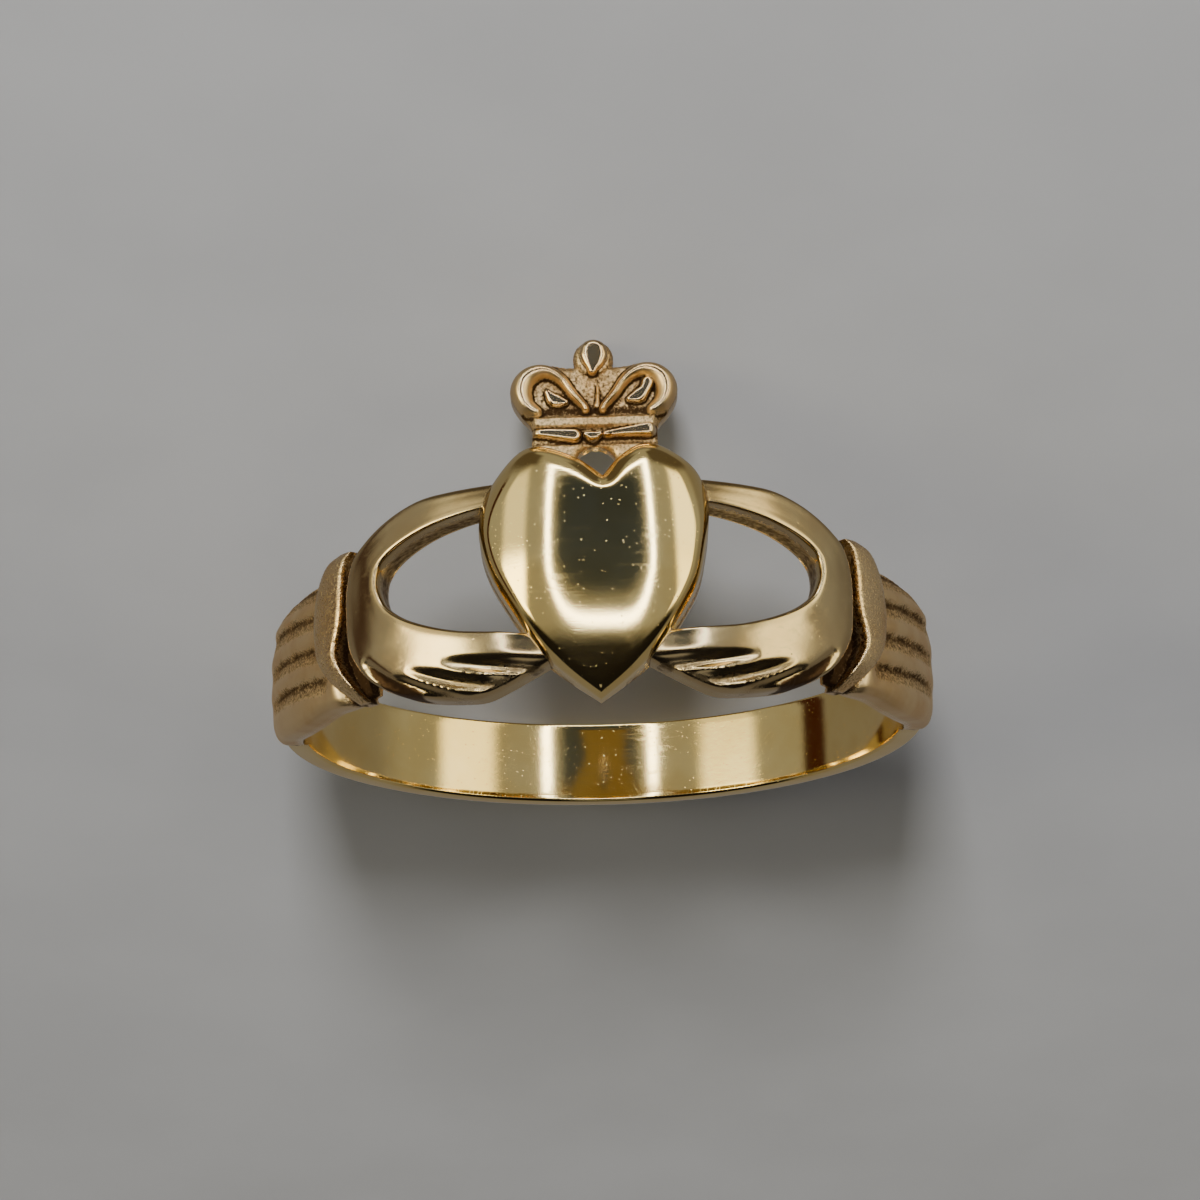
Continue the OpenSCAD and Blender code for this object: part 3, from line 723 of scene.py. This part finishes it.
def hand(side):
    """A rounded profile carried from the thumb's tip round the wrist to the fingertips, its window wall
    straight down, with the lines between the fingers sunk into its back."""
    last = len(HAND_STATIONS) - 1
    wrist = np.linspace(0, FINGERS_FROM, num=61)[:-1]
    u = np.hstack([wrist, np.linspace(FINGERS_FROM, last, num=160)])
    rows = curve_at(HAND_STATIONS, u)
    outer = rows[:, [0, 2]] * [HAND_W, HAND_H] - [0, HAND_DROP]
    inner = rows[:, [1, 3]] * [HAND_W, HAND_H] - [0, HAND_DROP]
    thick = rows[:, 4] * HAND_T
    profile = even_rows(HAND_PROFILE, count=68)
    place = outer[:, None] + (inner - outer)[:, None] * profile[:, :1]
    arc, up = place[..., 0], place[..., 1]
    height = profile[:, 1] * thick[:, None]
    height = height - THUMB_SLOPE * (1 - profile[:, 0]) * (1 - step_up(u, 3, 7))[:, None]
    groove = finger_groove(arc, up, FINGER_LINES)
    pit = finger_groove(arc, up, [HAND_PIT])
    sunk = FINGER_DEPTH * np.maximum(groove, 0.8 * pit) * step_up(height, 0.3, 0.9)
    sunk = sunk + PIT_SKIN * casting_skin(arc, up, PIT_CELL, 8 + side) * step_up(pit, 0.4, 0.8)
    height = np.maximum(height - sunk, FINGER_LEAST)
    top = on_ring(arc, up, height)
    straight = 1 + thick / FINGER_R
    foot = foot_of(inner[:, 0] * straight, inner[:, 1])
    edge = top[:, -1:]
    window = [edge * 0.66 + foot * 0.34, edge * 0.33 + foot * 0.67]
    grid = np.hstack([foot_of(outer[:, 0], outer[:, 1]), top, *window, foot])
    grid[..., 0] *= side
    # The walls and the low edge beside the cuff get painted shade
    film = np.full(grid.shape[:2], WALL_SHADE)
    beside_cuff = step_between(u, (6.0, 8.0), (10.5, 12.0))
    wall = (1 - step_up(profile[:, 1], 0.45, 0.75)) * (0.08 + 0.8 * beside_cuff[:, None])
    # The finger lines get dark film and painted shade, and the pit painted shade
    lined_film_and_shade = np.maximum(LINE_FILM_AND_SHADE * step_up(groove, 0.6, 1.0), PIT_SHADE * step_up(pit, 0.3, 0.6))
    film[:, 1:-3] = np.maximum(lined_film_and_shade, wall)
    return tube("hand", grid, film, HAND_SATIN, SHADED_HAND_GOLD)


def cuff(side):
    """A rounded profile carried up the cuff from its foot to its top."""
    rows = smooth_rows(CUFF_STATIONS, steps=8)
    start = HAND_W + CUFF_GAP
    near = start + rows[:, 1] * CUFF_W
    far = start + rows[:, 2] * CUFF_W
    up = rows[:, 0] * CUFF_H - CUFF_DROP
    profile = even_rows(CUFF_PROFILE, count=44)
    arc = near[:, None] + (far - near)[:, None] * profile[:, 0]
    height = profile[:, 1] * rows[:, 3:4] * CUFF_T
    top = on_ring(arc, up[:, None], height)
    grid = np.hstack([foot_of(near, up), top, foot_of(far, up)])
    grid[..., 0] *= side
    # The cuff's walls get painted shade, and its face a little painted shade all over, more towards its
    # edges
    film = np.full(grid.shape[:2], PIT_SHADE)
    film[:, 1:-1] = CUFF_SHADE + CUFF_EDGE_SHADE * (1 - step_up(profile[:, 1], 0.6, 0.85))
    return tube("cuff", grid, film, CUFF_SATIN, CAST)


def fold_groove(arc, up):
    """Share of the depth of a sleeve's folds: straight lines in the unrolled sleeve, each a steep bell
    curve exp(-(distance / width)^2) on its upper side and an even slope on its lower side, fading out."""
    share = (arc - SLEEVE_START) / (SLEEVE_REACH - SLEEVE_START)
    along = (share - FOLD_SPAN[0]) / (FOLD_SPAN[1] - FOLD_SPAN[0])
    fade = step_between(along, (-0.05, 0.05), (0.58, 1.0))
    depth = np.zeros_like(arc)
    for first, last in FOLD_LINES:
        above = up - (first + (last - first) * along) * SLEEVE_W / 2
        steep = np.exp(-((above / FOLD_STEEP_W) ** 2))
        easy = np.clip(1 + above / FOLD_EASY_W, 0, 1)
        depth = np.maximum(depth, np.where(above > 0, steep, easy))
    return depth * fade


def sleeve(side):
    """A rounded profile carried from the wrist along the sleeve to the band, with the folds sunk into it
    and a rough wrist floor that shows between hand and cuff."""
    rows = smooth_rows(SLEEVE_STATIONS, steps=12)
    arc = SLEEVE_START + rows[:, 0] * (SLEEVE_REACH - SLEEVE_START)
    high = rows[:, 1] * SLEEVE_W / 2
    low = -rows[:, 2] * SLEEVE_W / 2
    profile = even_rows(SLEEVE_PROFILE, count=76)
    up = high[:, None] + (low - high)[:, None] * profile[:, 0]
    arcs = np.broadcast_to(arc[:, None], up.shape)
    folds = fold_groove(arcs, up)
    wrist = 1 - step_up(rows[:, :1], 0.08, 0.12)
    rough = casting_skin(arcs, up, SLEEVE_CELL, 5 + side)
    rough = rough * (FOLD_SKIN * step_up(folds, 0.2, 0.6) + WRIST_SKIN * wrist)
    height = profile[:, 1] * rows[:, 3:4] * SLEEVE_T - FOLD_DEPTH * folds + rough
    top = on_ring(arcs, up, np.maximum(height, SLEEVE_LEAST))
    grid = np.hstack([foot_of(arc, high), top, foot_of(arc, low)])
    grid[..., 0] *= side
    # The sleeve's walls and its rough wrist floor between hand and cuff get painted shade
    film = np.full(grid.shape[:2], SLEEVE_EDGE_SHADE)
    # The folds get dark film and painted shade, and the deepest part along each steep edge the most
    folded_film_and_shade = FOLD_FILM_AND_SHADE * step_up(folds, 0.15, 0.45) + FOLD_DEEP_SHADE * step_up(folds, 0.7, 1.0)
    film[:, 1:-1] = np.maximum(folded_film_and_shade, PIT_SHADE * wrist)
    return tube("sleeve", grid, film, 1.0, CAST)


def crown_place(across, up):
    """Shares of half the crown's width and of its height, as millimetres."""
    return across * CROWN_W / 2, up * CROWN_H + CROWN_FOOT


def crown_arc(radius, middle_up, first, last, count):
    """Points from one angle to another on a circle about a place on the crown's middle line."""
    turn = np.radians(np.linspace(first, last, count))
    return radius * np.stack([np.cos(turn), np.sin(turn)], axis=-1) + [0, middle_up]


def crown_outline():
    """The crown's edge: legs, loops and round tip, with the arch of the window cut up from below."""
    half = smooth_rows(CROWN_HALF, steps=8)
    right = np.stack(crown_place(half[:, 0], half[:, 1]), axis=-1)
    tip = crown_arc(FINIAL_R, CROWN_TOP - FINIAL_R, -20, 200, count=40)
    arch = crown_arc(WINDOW_R, crown_place(0, WINDOW_TOP)[1] - WINDOW_R, 180, 0, count=30)
    foot = np.array([[WINDOW_R, CROWN_FOOT]])
    return np.vstack([right, tip, right[::-1] * [-1, 1], foot * [-1, 1], arch, foot])


def raised(distance, radius, full):
    """Height share of a raised form: 1 on its middle line, falling as (1 - (distance / radius)^full)^0.7.
    A fullness of 2 is round, and more is flatter on top."""
    return np.clip(1 - (distance / radius) ** full, 0, 1) ** 0.7


def hollows(height, reach):
    """Where a height field lies below its own average over a reach of grid steps: the average is taken by
    passing each height on to its four neighbours that many times."""
    soft = height.copy()
    for _ in range(reach):
        wide = np.pad(soft, 1, mode="edge")
        soft = (soft + wide[2:, 1:-1] + wide[:-2, 1:-1] + wide[1:-1, 2:] + wide[1:-1, :-2]) / 5
    return np.clip(soft - height, 0, None)


def crown_forms(x, up, forms, full):
    """Height of several forms, each raised about its own curve; the highest wins."""
    height = np.zeros_like(x)
    for rise, line in forms:
        path = even_rows([crown_place(a, b) + (r,) for a, b, r in line], count=24)
        distance, radius = path_distance(x, up, path)
        height = np.maximum(height, rise * raised(distance, radius, full))
    return height


def crown_relief(x, up):
    """Height of the crown's face over its ground, and where it is polished: on the drops, on the bars and
    on the tops of the loops' ridges. The highest form wins."""
    relief = np.zeros_like(x)
    ridge = even_rows([crown_place(a, b) + (r,) for a, b, r in LOOP_RIDGE], count=50)
    ridge_distance = path_distance(np.abs(x), up, ridge)[0]
    for side in (1, -1):
        distance, radius = path_distance(x * side, up, ridge)
        relief = np.maximum(relief, (RIDGE_RISE + RIDGE_SWELL * radius) * raised(distance, radius, full=2))
    from_tip = np.hypot(x, up - (CROWN_TOP - FINIAL_R))
    disc = DISC_RISE * (1 - step_up(from_tip, *DISC_EDGE))
    strip = STRIP_RISE * (step_between(up, *STRIP_EDGES) * (1 - step_up(np.abs(x), *STRIP_END)))
    foot = FOOT_RISE * (1 - step_up(up, *FOOT_TOP))
    relief = np.maximum.reduce([relief, disc, strip, foot, crown_forms(x, up, [CROWN_SEAM], full=2)])
    drops = crown_forms(x, up, CROWN_DROPS, DROP_FULLNESS)
    ridge_top = 1 - step_up(ridge_distance, 0.04, 0.09)
    return np.maximum(relief, drops), np.maximum(step_up(drops - relief, 0.0, 0.03), ridge_top)


def crown():
    """A slab whose face is a height field on a fine grid, kept inside the crown's outline. Where it nears
    the edge the face falls away in a quarter round, edge * (1 - sqrt(1 - (1 - distance / edge)^2))."""
    outline = crown_outline()
    columns = np.arange(-CROWN_REACH, CROWN_REACH, CROWN_STEP)
    rows = np.arange(CROWN_FOOT - CROWN_MARGIN, CROWN_TOP + CROWN_MARGIN, CROWN_STEP)
    x, up = np.meshgrid(columns, rows, indexing="ij")
    relief, polished = crown_relief(x, up)
    distance = edge_distance(x, up, outline)
    near = np.clip(1 - distance / CROWN_EDGE_R, 0, 1)
    fall = CROWN_EDGE_R * (1 - np.sqrt(1 - near**2))
    ground = 1 - step_up(relief, 0.06, 0.20)
    rough = CROWN_SKIN * casting_skin(x, up, CROWN_CELL, 3) * ground
    face = FINGER_R + CROWN_T + relief + rough - fall
    n, m = x.shape
    index = np.arange(n * m).reshape(n, m)
    border = np.hstack([index[:, 0], index[-1, 1:], index[-2::-1, -1], index[0, -2:0:-1]])
    low = np.stack([x.ravel()[border], up.ravel()[border], np.full(len(border), FINGER_R - 1.0)], axis=-1)
    points = np.vstack([np.stack([x, up, face], -1).reshape(-1, 3), low])
    corners = [index[:-1, :-1], index[1:, :-1], index[1:, 1:], index[:-1, 1:]]
    front = np.stack(corners, axis=-1).reshape(-1, 4)
    after = np.roll(border, -1)
    under = n * m + np.arange(len(border))
    walls = np.stack([after, border, under, np.roll(under, -1)], axis=-1)
    # The crown's ground gets dark film and painted shade, its hollows and the stripe over the strip painted
    # shade, and the strip a thin film
    film = CROWN_GROUND_FILM_AND_SHADE * ground + CROWN_HOLLOW_SHADE * step_up(hollows(relief, reach=12), 0.006, 0.05)
    film = film + STRIPE_SHADE * ground * step_between(up, *STRIPE_EDGES)
    film = np.maximum(film, STRIP_FILM * step_between(up, *STRIP_FILM_EDGES))
    films = np.hstack([film.ravel(), np.zeros(len(border))])
    satins = np.hstack([1 - CROWN_POLISH * polished.ravel(), np.ones(len(border))])
    faces = front.tolist() + walls.tolist() + [under[::-1].tolist()]
    slab = new_piece("crown", points, faces, np.clip(films, 0, 1), satins, CAST)
    combine(slab, [prism("crown_outline", outline, FINGER_R - 0.9, FINGER_R + 2.5, CAST)], "INTERSECT")
    # Painted shade along the edge where the outline cuts the crown
    paint_crease_shade(slab, CROWN_CREASE_SHADE)
    return slab


def finger_hole():
    """A round bar the size of the finger hole: straight over the band's width and eased outside it."""
    half = BAND_W / 2
    up = half * np.array([-8, -1, -0.8, -0.4, 0, 0.4, 0.8, 1, 8])
    radius = FINGER_R + np.clip(np.abs(up) - half, 0, None) * np.tan(np.radians(HOLE_EASE))
    turn = np.linspace(0, 2 * np.pi, num=540, endpoint=False)
    return tube("finger_hole", round_finger(turn, up[:, None], radius[:, None]), 0.0, 0.0, POLISHED)


def to_metres(piece):
    """Places a piece: centre + across * ACROSS + up * UP + out * OUT, in metres."""
    mesh = piece.data
    points = np.zeros(len(mesh.vertices) * 3)
    mesh.vertices.foreach_get("co", points)
    placed = CENTRE + MM * (points.reshape(-1, 3) @ np.stack([ACROSS, UP, OUT]))
    mesh.vertices.foreach_set("co", placed.ravel())
    mesh.update()


def cast_ring():
    """All forms joined into one body, with the finger hole cut through it."""
    body = band()
    forms = [sleeve(1), sleeve(-1), cuff(1), cuff(-1), hand(1), hand(-1), crown(), heart()]
    combine(body, forms, "UNION")
    # Painted shade in the creases where the forms meet
    paint_crease_shade(body, CREASE_SHADE)
    combine(body, [finger_hole()], "DIFFERENCE")
    body.name = "ring_body"
    to_metres(body)
    body.data.attributes.remove(body.data.attributes["cast"])
    body.data.polygons.foreach_set("use_smooth", np.ones(len(body.data.polygons), bool))
    body.data.set_sharp_from_angle(angle=np.radians(SHARP_ANGLE))
    return body


ring = cast_ring()
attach(ring, "root")
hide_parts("ring")

# Camera: the photograph's own place, found from the band's edges. The side of the picture and the focus are
# in pixels, the distance and the shift across and up in millimetres, and the three turns in radians
PHOTO_PIXELS = 1200
PHOTO_FOCUS = 4092.77
PHOTO_DISTANCE = 120.0
PHOTO_TILT = -0.28433
PHOTO_TURN = -0.00415
PHOTO_ROLL = 0.02463
PHOTO_SHIFT = (0.0734, -2.6313)


def photo_camera():
    """The camera stands where the photograph was taken, turned and rolled as it was."""
    turn = Matrix.Rotation(PHOTO_ROLL, 3, "Z") @ Matrix.Rotation(PHOTO_TILT, 3, "X")
    turn = np.array(turn @ Matrix.Rotation(PHOTO_TURN, 3, "Y"))
    place = turn.T @ np.array([-PHOTO_SHIFT[0], -PHOTO_SHIFT[1], PHOTO_DISTANCE])
    basis = np.stack([ACROSS, UP, OUT])
    data = bpy.data.cameras.new("camera")
    data.lens = PHOTO_FOCUS / PHOTO_PIXELS * data.sensor_width
    data.clip_start = 0.01
    camera = place_object("camera", data)
    matrix = np.eye(4)
    matrix[:3, :3] = (turn @ basis).T
    matrix[:3, 3] = CENTRE + MM * (place @ basis)
    camera.matrix_world = Matrix(matrix.tolist())
    bpy.context.scene.camera = camera


# Studio: how bright each place is that the gold mirrors
ROOM = (0.36, 0.36, 0.34, 1)
BACK_ROOM = (0.21, 0.20, 0.19, 1)
SIDE_BOX = (9.0, 8.2, 5.4, 1)
OVERHEAD = (0.4, 0.4, 0.4, 1)
DARK_FRONT = (0.013, 0.012, 0.013, 1)
DARK_BELOW = (0.10, 0.085, 0.07, 1)
DARK_LENS = (0.045, 0.058, 0.085, 1)
LENS_RING = (11.5, 11.5, 11.8, 1)
DARK_PILLAR = (0.045, 0.014, 0.008, 1)
SEEN_BACKGROUND = (0.36, 0.36, 0.37, 1)
# The lens opening: half its size, and how far its middle lies to the right of straight ahead and to the
# crown's side of the ring's own plane
LENS_HALF_WIDTH = 22.5
LENS_HALF_HEIGHT = 38.0
LENS_RIGHT = 2.0
LENS_BELOW = 19.5
# How square it is and where its rim ends, both on the crown's side and on the heart's, then where its rim
# starts and where its darkness fades, all three as shares of the way to its edge
LENS_SQUARE = (5.0, 2.2)
RIM_END = (1.01, 0.97)
RIM_FROM = (0.82, 0.91)
LENS_FADE = (0.55, 0.88)
# The other parts of the studio: both ends round the ring's axis (ROUND) or from its plane (HEIGHT), or one
# soft edge (FROM, UNTIL). The left box stands a little nearer to straight ahead
BACK_FROM = (84.0, 104.0)
BOX_ROUND = (45.0, 68.0)
LEFT_BOX_NEARER = 6.0
BOX_HEIGHT = (-44.0, 14.0)
PILLAR_ROUND = (86.0, 98.0)
FRONT_FROM = (14.0, 24.0)
FRONT_UNTIL = (87.0, 103.0)
BELOW_HEIGHT = (-78.0, -48.0)
BELOW_ROUND = (30.0, 120.0)
OVERHEAD_FROM = (79.0, 83.0)
# Brightness of the right box and of the left one: all over, and what is added past the rise
BOX_LOW = (0.25, 0.10)
BOX_ADDED = (0.08, 0.85)
BOX_RISE = (-16.0, -6.0)


def studio_world():
    """A soft studio set square to the ring: a dark opening straight ahead with a thin bright frame, bright
    boxes on both sides, the left one brighter towards the heart's point, a dark pillar beyond it, darkness
    past the heart's point and past the crown, a dim even room behind, and grey overhead. Directions are
    degrees round the ring's axis from straight ahead, positive to the picture's left, and degrees from its
    plane, positive towards the heart's point. The lens lies where (aside / half width)^p + (height / half
    height)^p is below 1, and p falls towards the heart's point. The camera itself sees plain grey."""
    world = bpy.data.worlds.new("studio")
    world.use_nodes = True
    tree = world.node_tree
    way = add_node(tree, "TexCoord", {}).outputs["Generated"]

    def part(axis):
        """How much of the direction runs along an axis."""
        dot = add_node(tree, "VectorMath", {0: way, 1: tuple(axis)}, operation="DOT_PRODUCT")
        return dot.outputs["Value"]

    def inside(value, span, soft):
        """1 between the two ends of a span, with soft edges."""
        low, high = span
        after_low = ramp(tree, value, low - soft, low + soft)
        return calc(tree, "MULTIPLY", after_low, ramp(tree, value, high - soft, high + soft, 1.0, 0.0))

    round_way = calc(tree, "DEGREES", calc(tree, "ARCTAN2", part(-ACROSS), part(OUT)))
    aside = calc(tree, "ABSOLUTE", round_way)
    height = calc(tree, "DEGREES", calc(tree, "ARCSINE", part(-UP)))

    def by_side(right, left):
        """One number on the right of straight ahead and another on the left."""
        return ramp(tree, round_way, -5.0, 5.0, right, left)

    back = ramp(tree, aside, *BACK_FROM)
    box_height = inside(height, BOX_HEIGHT, 4.0)
    box = inside(calc(tree, "ADD", aside, by_side(0.0, LEFT_BOX_NEARER)), BOX_ROUND, 3.5)
    box = calc(tree, "MULTIPLY", box, box_height)
    rise = ramp(tree, height, *BOX_RISE)
    bright = calc(tree, "MULTIPLY_ADD", by_side(*BOX_ADDED), rise, by_side(*BOX_LOW))
    box = calc(tree, "MULTIPLY", box, bright)
    pillar = calc(tree, "MULTIPLY", inside(round_way, PILLAR_ROUND, 2.0), box_height)
    nearer = calc(tree, "MULTIPLY", aside, ramp(tree, height, 45.0, 65.0, 1.0, 0.0))
    front = ramp(tree, nearer, *FRONT_UNTIL, 1.0, 0.0)
    front = calc(tree, "MULTIPLY", ramp(tree, height, *FRONT_FROM), front)
    below = calc(tree, "MULTIPLY", inside(height, BELOW_HEIGHT, 4.0), inside(aside, BELOW_ROUND, 6.0))
    upright = calc(tree, "DEGREES", calc(tree, "ARCSINE", part((0, 0, 1))))
    overhead = ramp(tree, upright, *OVERHEAD_FROM)

    upper = calc(tree, "DIVIDE", calc(tree, "ADD", height, LENS_BELOW), LENS_HALF_HEIGHT)
    square = ramp(tree, upper, -0.2, 0.6, *LENS_SQUARE)
    from_lens = calc(tree, "ABSOLUTE", calc(tree, "ADD", round_way, LENS_RIGHT))
    wide = calc(tree, "POWER", calc(tree, "DIVIDE", from_lens, LENS_HALF_WIDTH), square)
    tall = calc(tree, "POWER", calc(tree, "ABSOLUTE", upper), square)
    reach = calc(tree, "POWER", calc(tree, "ADD", wide, tall), calc(tree, "DIVIDE", 1.0, square))
    lens = ramp(tree, reach, *LENS_FADE, 1.0, 0.0)
    rim_end = ramp(tree, upper, 0.2, 0.9, *RIM_END)
    before_end = ramp(tree, calc(tree, "SUBTRACT", reach, rim_end), -0.05, 0.05, 1.0, 0.0)
    rim = calc(tree, "MULTIPLY", ramp(tree, reach, *RIM_FROM), before_end)
    seen = add_node(tree, "LightPath", {}).outputs["Is Camera Ray"]

    colour = ROOM
    for share, tint in [
        (back, BACK_ROOM), (box, SIDE_BOX), (pillar, DARK_PILLAR), (front, DARK_FRONT), (below, DARK_BELOW),
        (overhead, OVERHEAD), (lens, DARK_LENS), (rim, LENS_RING), (seen, SEEN_BACKGROUND),
    ]:
        colour = blend(tree, share, colour, tint)
    tree.links.new(colour, tree.nodes["Background"].inputs["Color"])
    bpy.context.scene.world = world


# Paper, in metres: how far it reaches to each side, and its two greys
PAPER_REACH = 0.6
PAPER_DARK = (0.355, 0.355, 0.361, 1)
PAPER_PALE = (0.38, 0.38, 0.386, 1)
# Lamp: its power in watts, its side and its place in metres
LAMP_POWER = 2.0
LAMP_SIZE = 0.045
LAMP_PLACE = (0.012, -0.28, 0.088)


def floor():
    """A wide sheet of pale paper with a faint mottle. The gold mirrors the studio and not the paper."""
    mesh = bpy.data.meshes.new("floor")
    corners = PAPER_REACH * np.array([(-1, -1, 0), (1, -1, 0), (1, 1, 0), (-1, 1, 0)])
    mesh.from_pydata(corners.tolist(), [], [(0, 1, 2, 3)])
    piece = place_object("floor", mesh)
    paper = bpy.data.materials.new("paper")
    paper.use_nodes = True
    tree = paper.node_tree
    shader = tree.nodes["Principled BSDF"]
    mottle = noise(tree, add_node(tree, "TexCoord", {}).outputs["Object"], 120.0, 5.0)
    colour = blend(tree, ramp(tree, mottle, 0.3, 0.7), PAPER_DARK, PAPER_PALE)
    tree.links.new(colour, shader.inputs["Base Color"])
    shader.inputs["Roughness"].default_value = 0.9
    mesh.materials.append(paper)
    piece.visible_glossy = False


def key_light():
    """A soft lamp in front, further off than the camera and at half its angle above the floor. It lights the
    paper and throws the ring's shadow backwards."""
    light = bpy.data.lights.new("key", "AREA")
    light.energy = LAMP_POWER
    light.size = LAMP_SIZE
    key = place_object("key", light)
    key.location = LAMP_PLACE
    key.rotation_euler = (-Vector(key.location)).to_track_quat("-Z", "Y").to_euler()
    key.visible_glossy = False


photo_camera()
studio_world()
floor()
key_light()
